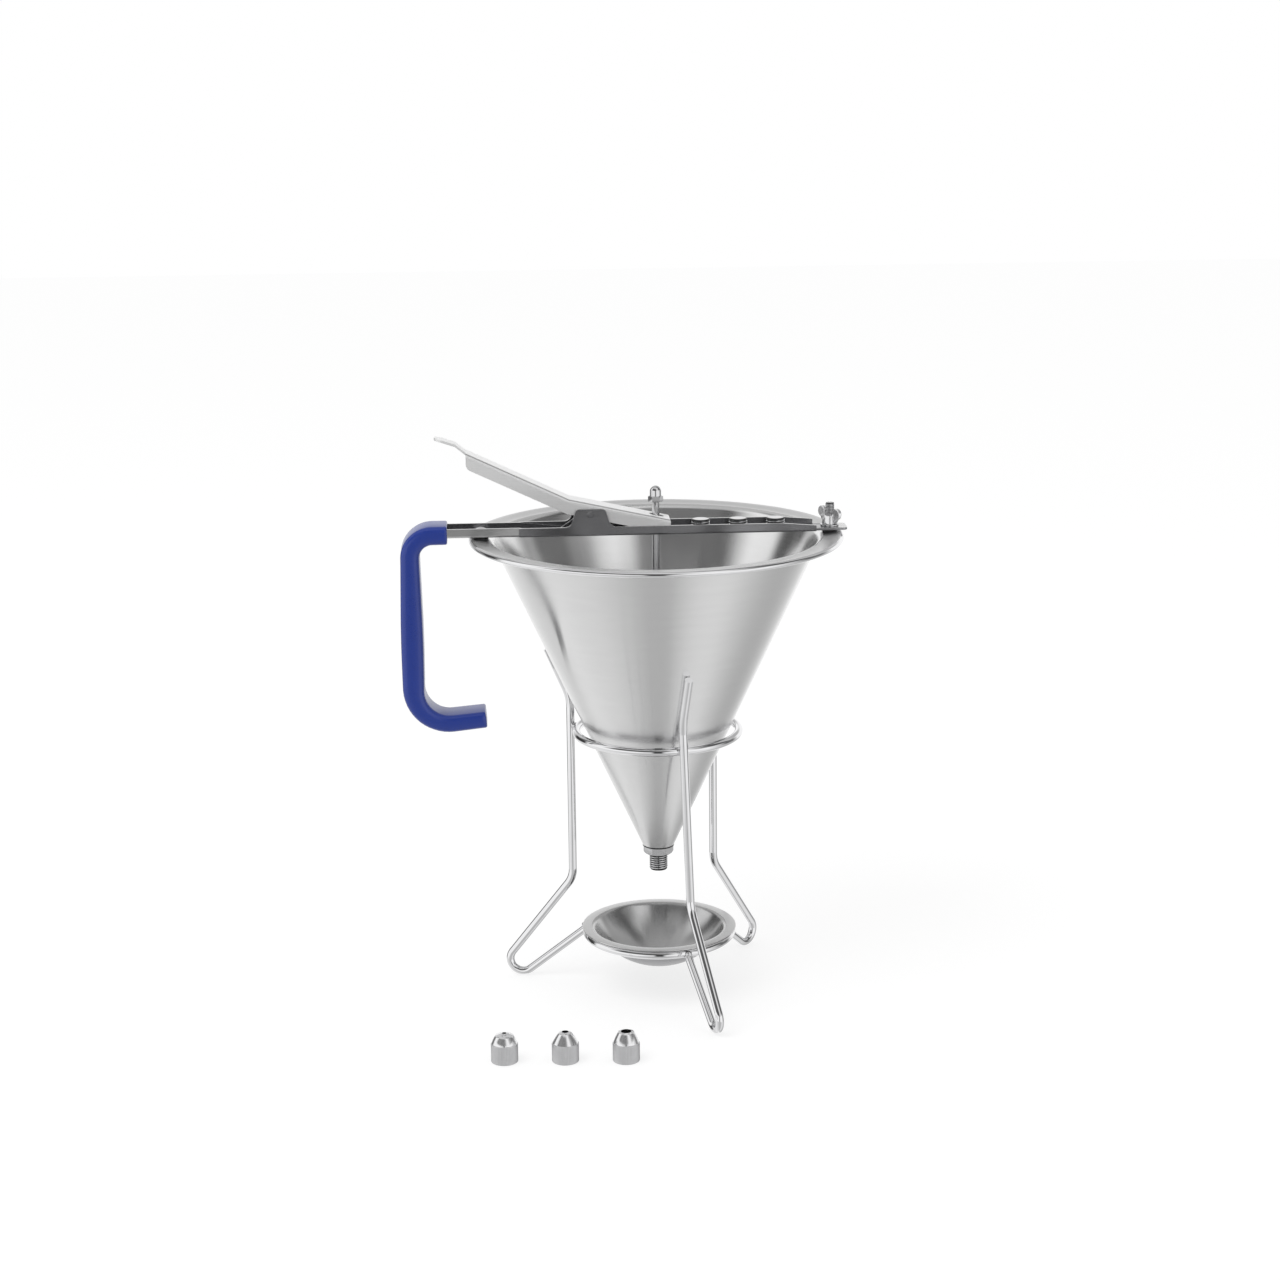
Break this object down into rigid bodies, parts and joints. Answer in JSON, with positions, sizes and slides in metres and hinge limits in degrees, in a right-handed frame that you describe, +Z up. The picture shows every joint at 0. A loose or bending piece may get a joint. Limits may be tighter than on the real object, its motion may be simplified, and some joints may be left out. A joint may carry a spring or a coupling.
{
  "type": "confectionery funnel",
  "caption": "Steel confectionery funnel with a lever-lifted valve, blue hand grip, wire stand, drip bowl and screw-on nozzles.",
  "frame": {"origin": "centre of the open lower end of the outlet's thread; the table is 67.5 mm below it", "axes": "+Z up along the funnel's axis, +X along the bridge away from the grip, +Y away from the pictured front"},
  "size_m": [0.239, 0.2143, 0.3092],
  "materials": {
    "brushed_sheet": "brushed round the axis",
    "dark_sheet": "brushed along its length",
    "satin_sheet": "satin",
    "turned_steel": "turned",
    "polished_steel": "polished",
    "grip_blue": "semi-gloss",
    "pad_black": "matte",
    "bush_white": "matte"
  },
  "bodies": {
    "stand": {"stand_upper_ring": "polished_steel", "stand_lower_ring": "polished_steel", "leg_front": "polished_steel", "leg_right": "polished_steel", "leg_left": "polished_steel"},
    "bowl": {"drip_bowl": "brushed_sheet"},
    "funnel": {"funnel_cone": "brushed_sheet", "outlet_fitting": "turned_steel", "hook_stud": "polished_steel", "clamp_stud": "polished_steel", "pad_left": "pad_black", "pad_right": "pad_black", "bridge_channel": "dark_sheet", "rod_guide_bush": "bush_white", "storage_stud_1": "turned_steel", "storage_stud_2": "turned_steel", "storage_stud_3": "turned_steel", "handle_bar": "dark_sheet", "handle_core": "polished_steel", "handle_grip": "grip_blue", "pivot_pin": "polished_steel", "return_spring": "polished_steel", "clamp_washer": "polished_steel"},
    "lever": {"lever": "satin_sheet"},
    "valve": {"valve_rod": "polished_steel", "valve_cone": "polished_steel"},
    "cap": {"cap_nut": "polished_steel"},
    "wing": {"wing_nut": "turned_steel"},
    "nozzle_1": {"nozzle_small": "turned_steel"},
    "nozzle_2": {"nozzle_medium": "turned_steel"},
    "nozzle_3": {"nozzle_large": "turned_steel"}
  },
  "joints": [
    {"name": "funnel_lift", "type": "slide", "parent": "stand", "child": "funnel", "axis": [0, 0, 1], "range_m": [0, 0.15]},
    {"name": "bowl_lift", "type": "slide", "parent": "stand", "child": "bowl", "axis": [0, 0, 1], "range_m": [0, 0.02]},
    {"name": "lever_press", "type": "hinge", "parent": "funnel", "child": "lever", "pos_m": [-0.035, 0, 0.2004], "axis": [0, -1, 0], "range_deg": [0, 20], "stiffness_Nm_per_rad": 0.15, "springref_deg": -34.38, "deforming": ["return_spring"]},
    {"name": "valve_lift", "type": "slide", "parent": "funnel", "child": "valve", "axis": [0, 0, 1], "range_m": [0, 0.0065]},
    {"name": "cap_turn", "type": "hinge", "parent": "valve", "child": "cap", "pos_m": [0, 0, 0.205], "axis": [0, 0, 1], "continuous": true},
    {"name": "wing_turn", "type": "hinge", "parent": "funnel", "child": "wing", "pos_m": [0.0932, 0, 0.191], "axis": [0, 0, 1], "continuous": true},
    {"name": "nozzle_1_lift", "type": "slide", "parent": "stand", "child": "nozzle_1", "axis": [0, 0, 1], "range_m": [0, 0.05]},
    {"name": "nozzle_2_lift", "type": "slide", "parent": "stand", "child": "nozzle_2", "axis": [0, 0, 1], "range_m": [0, 0.05]},
    {"name": "nozzle_3_lift", "type": "slide", "parent": "stand", "child": "nozzle_3", "axis": [0, 0, 1], "range_m": [0, 0.05]}
  ],
  "couplings": [
    {"joint": "valve_lift", "follows": "lever_press", "m_per_rad": 0.01747}
  ]
}
